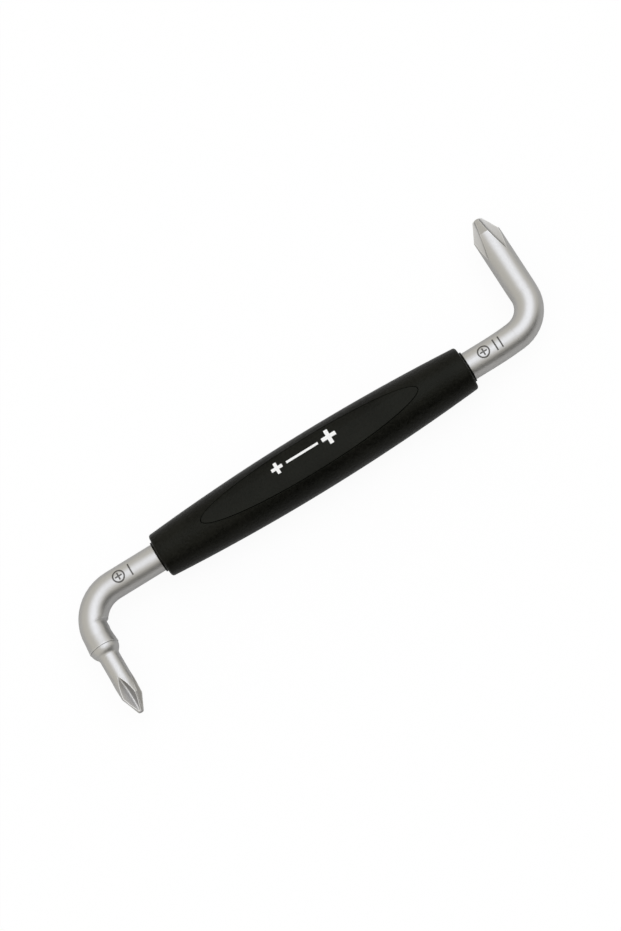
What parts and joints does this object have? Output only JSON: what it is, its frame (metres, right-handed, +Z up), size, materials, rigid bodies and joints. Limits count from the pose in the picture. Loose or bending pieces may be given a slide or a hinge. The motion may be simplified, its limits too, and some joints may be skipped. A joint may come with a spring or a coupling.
{
  "type": "offset screwdriver",
  "caption": "Z-bent offset screwdriver: round steel bar with a cross-recess tip at each end and a black barrel grip with oval inlays.",
  "frame": {"origin": "middle of the flat strip on the lower inlay, which the tool lies on, straight below the middle of the grip", "axes": "+X along the shaft to the large-tip end, +Y the way the large tip points, +Z up out of the upper inlay"},
  "size_m": [0.1153, 0.0514, 0.011],
  "materials": {
    "satin_steel": "matt satin chrome over steel",
    "grip_plastic": "fine matt moulded texture",
    "inlay_plastic": "smoother matt moulded surface",
    "core_plastic": "hard matt plastic"
  },
  "bodies": {
    "root": {"bar": "satin_steel", "grip_core": "core_plastic", "grip_sleeve": "grip_plastic", "upper_inlay": "inlay_plastic", "lower_inlay": "inlay_plastic"}
  },
  "joints": []
}
